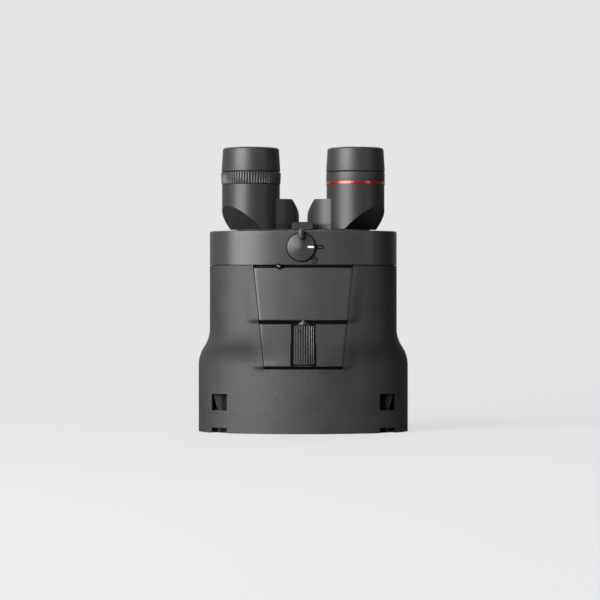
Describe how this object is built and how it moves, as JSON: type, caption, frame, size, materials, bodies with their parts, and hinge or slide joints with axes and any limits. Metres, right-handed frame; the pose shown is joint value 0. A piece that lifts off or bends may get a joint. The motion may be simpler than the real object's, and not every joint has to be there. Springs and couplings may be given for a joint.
{
  "type": "stabilised binoculars",
  "caption": "Image-stabilised binoculars with swinging eyepiece turrets, twist-up eyecups, ribbed focus wheel, power dial and rubber armour.",
  "frame": {"origin": "centre of the objective end face that the binoculars stand on", "axes": "+Z along the optical axes towards the eyepieces, +X to the user's right, -Y out of the face with the focus wheel and power dial"},
  "size_m": [0.1296, 0.0814, 0.1753],
  "materials": {
    "armour_rubber": "fine grained matt rubber",
    "satin_plastic": "smooth satin",
    "panel_plastic": "smooth matt",
    "housing_plastic": "moulded matt",
    "turret_paint": "satin black paint",
    "black_aluminium": "black anodised",
    "accent_red": "gloss red anodised",
    "eyecup_rubber": "smooth matt rubber",
    "knurl_rubber": "ribbed rubber",
    "coated_glass": "coated optical glass",
    "prism_glass": "polished optical glass",
    "steel": "turned steel",
    "brass": "turned brass",
    "circuit_green": "solder mask",
    "chip_black": "moulded",
    "battery_foil": "printed foil sleeve",
    "lamp_green": "clear tinted lens",
    "gear_nylon": "moulded nylon"
  },
  "bodies": {
    "chassis": {"battery_cells": "battery_foil", "battery_tray": "housing_plastic", "bearing_ring_l": "brass", "bearing_ring_r": "brass", "bulkhead": "black_aluminium", "case_screws": "steel", "circuit_board": "circuit_green", "deck_block": "satin_plastic", "dial_bezel": "black_aluminium", "door_pin": "steel", "front_frame": "housing_plastic", "gimbal_posts": "black_aluminium", "guide_rods": "steel", "gyro_chips": "chip_black", "head_cover": "satin_plastic", "led_bezel": "black_aluminium", "led_lens": "lamp_green", "lower_panel": "panel_plastic", "main_housing": "housing_plastic", "objective_barrel_l": "black_aluminium", "objective_barrel_r": "black_aluminium", "objective_lens_l": "coated_glass", "objective_lens_r": "coated_glass", "retaining_ring_l": "black_aluminium", "retaining_ring_r": "black_aluminium", "rubber_armour": "armour_rubber", "strap_bar_l": "steel", "strap_bar_r": "steel", "top_deck": "satin_plastic", "tripod_bush": "brass", "upper_panel": "panel_plastic"},
    "turret_left": {"turret_housing_l": "turret_paint", "rhomboid_prism_l": "prism_glass", "gear_sector_l": "gear_nylon"},
    "turret_right": {"turret_housing_r": "turret_paint", "rhomboid_prism_r": "prism_glass", "gear_sector_r": "gear_nylon", "ocular_cell_r": "black_aluminium", "eye_lens_r": "coated_glass", "accent_ring": "accent_red", "plain_ring": "satin_plastic"},
    "focus_drive": {"focus_wheel": "knurl_rubber", "focus_screw": "steel"},
    "focus_carriage": {"focus_carriage": "black_aluminium", "focus_lens_l": "coated_glass", "focus_lens_r": "coated_glass"},
    "dioptre_ring": {"dioptre_ring": "knurl_rubber"},
    "ocular_left": {"ocular_cell_l": "black_aluminium", "eye_lens_l": "coated_glass"},
    "cup_sleeve_left": {"cup_sleeve_l": "black_aluminium"},
    "eyecup_left": {"eyecup_l": "eyecup_rubber"},
    "cup_sleeve_right": {"cup_sleeve_r": "black_aluminium"},
    "eyecup_right": {"eyecup_r": "eyecup_rubber"},
    "power_dial": {"power_dial": "satin_plastic"},
    "gimbal_outer": {"gimbal_outer": "black_aluminium"},
    "gimbal_inner": {"gimbal_inner": "black_aluminium", "erecting_prism_l": "prism_glass", "erecting_prism_r": "prism_glass"},
    "battery_door": {"battery_door": "housing_plastic"},
    "battery_latch": {"battery_latch": "satin_plastic"}
  },
  "joints": [
    {"name": "ipd_swing_right", "type": "hinge", "parent": "chassis", "child": "turret_right", "pos_m": [0.02035, 0, 0.1248], "axis": [0, 0, 1], "range_deg": [-25, 35]},
    {"name": "ipd_swing_left", "type": "hinge", "parent": "chassis", "child": "turret_left", "pos_m": [-0.02035, 0, 0.1248], "axis": [0, 0, 1], "range_deg": [-35, 25]},
    {"name": "focus_turn", "type": "hinge", "parent": "chassis", "child": "focus_drive", "pos_m": [0, -0.02775, 0.054], "axis": [0, 0, 1], "range_deg": [-270, 270]},
    {"name": "focus_travel", "type": "slide", "parent": "chassis", "child": "focus_carriage", "axis": [0, 0, 1], "range_m": [-0.0033, 0.0033]},
    {"name": "dioptre_turn", "type": "hinge", "parent": "turret_left", "child": "dioptre_ring", "pos_m": [-0.03223, -0.00832, 0.156], "axis": [0, 0, 1], "range_deg": [-60, 60]},
    {"name": "dioptre_travel", "type": "slide", "parent": "turret_left", "child": "ocular_left", "axis": [0, 0, 1], "range_m": [-0.0015, 0.0015]},
    {"name": "cup_turn_left", "type": "hinge", "parent": "turret_left", "child": "cup_sleeve_left", "pos_m": [-0.03223, -0.00832, 0.165], "axis": [0, 0, 1], "range_deg": [0, 90]},
    {"name": "cup_lift_left", "type": "slide", "parent": "cup_sleeve_left", "child": "eyecup_left", "axis": [0, 0, 1], "range_m": [0, 0.008]},
    {"name": "cup_turn_right", "type": "hinge", "parent": "turret_right", "child": "cup_sleeve_right", "pos_m": [0.03223, -0.00832, 0.165], "axis": [0, 0, 1], "range_deg": [0, 90]},
    {"name": "cup_lift_right", "type": "slide", "parent": "cup_sleeve_right", "child": "eyecup_right", "axis": [0, 0, 1], "range_m": [0, 0.008]},
    {"name": "power_switch", "type": "hinge", "parent": "chassis", "child": "power_dial", "pos_m": [-0.00135, -0.0384, 0.1136], "axis": [0, 1, 0], "range_deg": [0, 45]},
    {"name": "steady_yaw", "type": "hinge", "parent": "chassis", "child": "gimbal_outer", "pos_m": [0, 0, 0.0836], "axis": [0, 1, 0], "range_deg": [-3, 3]},
    {"name": "steady_pitch", "type": "hinge", "parent": "gimbal_outer", "child": "gimbal_inner", "pos_m": [0, 0, 0.0836], "axis": [1, 0, 0], "range_deg": [-3, 3]},
    {"name": "door_swing", "type": "hinge", "parent": "chassis", "child": "battery_door", "pos_m": [0, 0.036, 0.0616], "axis": [1, 0, 0], "range_deg": [0, 100]},
    {"name": "latch_slide", "type": "slide", "parent": "battery_door", "child": "battery_latch", "axis": [0, 0, 1], "range_m": [0, 0.003]}
  ],
  "couplings": [
    {"joint": "ipd_swing_left", "follows": "ipd_swing_right", "ratio": -1},
    {"joint": "focus_travel", "follows": "focus_turn", "m_per_rad": 0.00063656},
    {"joint": "dioptre_travel", "follows": "dioptre_turn", "m_per_rad": 0.0014323},
    {"joint": "cup_lift_left", "follows": "cup_turn_left", "m_per_rad": 0.0050924},
    {"joint": "cup_lift_right", "follows": "cup_turn_right", "m_per_rad": 0.0050924}
  ]
}
